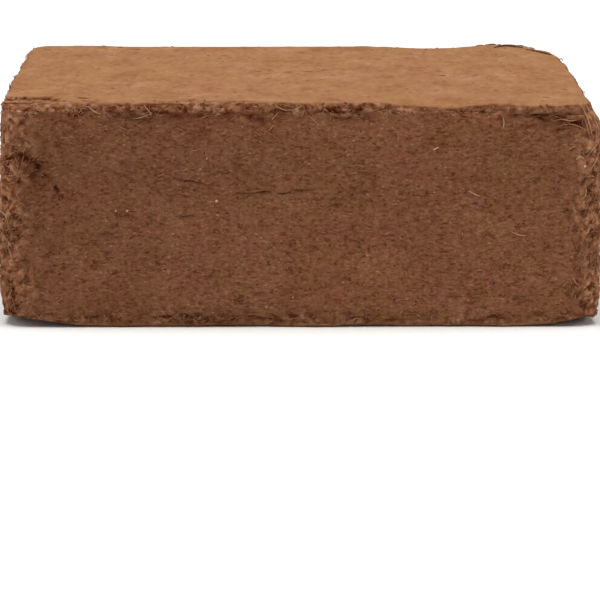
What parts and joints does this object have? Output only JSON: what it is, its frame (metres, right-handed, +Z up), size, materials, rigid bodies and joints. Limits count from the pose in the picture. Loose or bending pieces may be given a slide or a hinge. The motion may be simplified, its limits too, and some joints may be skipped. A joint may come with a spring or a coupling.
{
  "type": "coconut coir bale",
  "caption": "Square pressed bale of coconut coir pith and fibre with flat top and underside, layered walls and worn corners; breaks up into potting and bedding substrate.",
  "frame": {"origin": "centre of the bale's underside, on the plane it rests on", "axes": "+Z up, the direction the bale was pressed in; +X to the right along the front wall; the front wall faces -Y"},
  "size_m": [0.3, 0.298, 0.1131],
  "materials": {
    "pressed_coir": "matte"
  },
  "bodies": {
    "root": {"coir_bale": "pressed_coir"}
  },
  "joints": []
}
